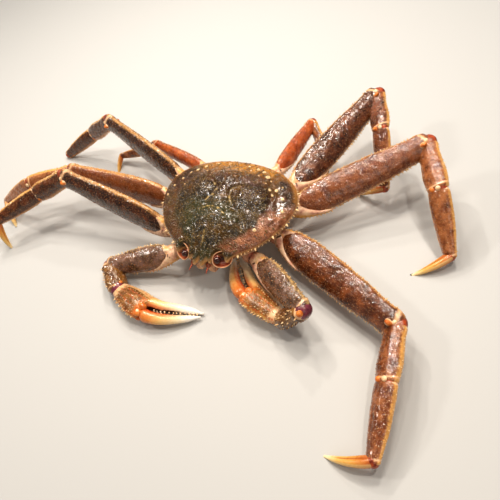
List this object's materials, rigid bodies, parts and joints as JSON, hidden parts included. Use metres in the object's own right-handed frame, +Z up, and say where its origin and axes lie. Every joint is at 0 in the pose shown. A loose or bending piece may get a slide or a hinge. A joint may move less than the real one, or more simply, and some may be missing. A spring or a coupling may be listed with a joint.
{
  "type": "snow crab",
  "caption": "Long-legged snow crab at rest, rounded carapace, legs spread and bent, claws folded in front of it.",
  "frame": {"origin": "middle of the crab's footprint on the floor, under its bounding box", "axes": "+Z up, the crab faces -Y, its left side is +X"},
  "size_m": [0.5334, 0.3746, 0.0726],
  "materials": {
    "carapace_shell": "wet granular olive-brown shell",
    "leg_shell": "wet reddish-brown shell",
    "claw_shell": "wet dark brown shell",
    "finger_shell": "smooth orange to ivory shell",
    "pale_shell": "smooth cream shell",
    "eye": "glossy black"
  },
  "bodies": {
    "root": {"abdomen": "pale_shell", "antenna_left": "finger_shell", "antenna_right": "finger_shell", "carapace": "carapace_shell", "eye_left": "eye", "eye_right": "eye", "left_claw_carpus": "claw_shell", "left_claw_coxa": "pale_shell", "left_claw_dactylus": "finger_shell", "left_claw_merus": "claw_shell", "left_claw_palm": "claw_shell", "left_leg2_carpus": "leg_shell", "left_leg2_coxa": "pale_shell", "left_leg2_dactylus": "finger_shell", "left_leg2_merus": "leg_shell", "left_leg2_propodus": "leg_shell", "left_leg3_carpus": "leg_shell", "left_leg3_coxa": "pale_shell", "left_leg3_dactylus": "finger_shell", "left_leg3_merus": "leg_shell", "left_leg3_propodus": "leg_shell", "left_leg4_carpus": "leg_shell", "left_leg4_coxa": "pale_shell", "left_leg4_dactylus": "finger_shell", "left_leg4_merus": "leg_shell", "left_leg4_propodus": "leg_shell", "left_leg5_carpus": "leg_shell", "left_leg5_coxa": "pale_shell", "left_leg5_dactylus": "finger_shell", "left_leg5_merus": "leg_shell", "left_leg5_propodus": "leg_shell", "maxilliped_left": "pale_shell", "maxilliped_right": "pale_shell", "right_claw_carpus": "claw_shell", "right_claw_coxa": "pale_shell", "right_claw_dactylus": "finger_shell", "right_claw_merus": "claw_shell", "right_claw_palm": "claw_shell", "right_leg2_carpus": "leg_shell", "right_leg2_coxa": "pale_shell", "right_leg2_dactylus": "finger_shell", "right_leg2_merus": "leg_shell", "right_leg2_propodus": "leg_shell", "right_leg3_carpus": "leg_shell", "right_leg3_coxa": "pale_shell", "right_leg3_dactylus": "finger_shell", "right_leg3_merus": "leg_shell", "right_leg3_propodus": "leg_shell", "right_leg4_carpus": "leg_shell", "right_leg4_coxa": "pale_shell", "right_leg4_dactylus": "finger_shell", "right_leg4_merus": "leg_shell", "right_leg4_propodus": "leg_shell", "right_leg5_carpus": "leg_shell", "right_leg5_coxa": "pale_shell", "right_leg5_dactylus": "finger_shell", "right_leg5_merus": "leg_shell", "right_leg5_propodus": "leg_shell", "underbody": "pale_shell"}
  },
  "joints": []
}
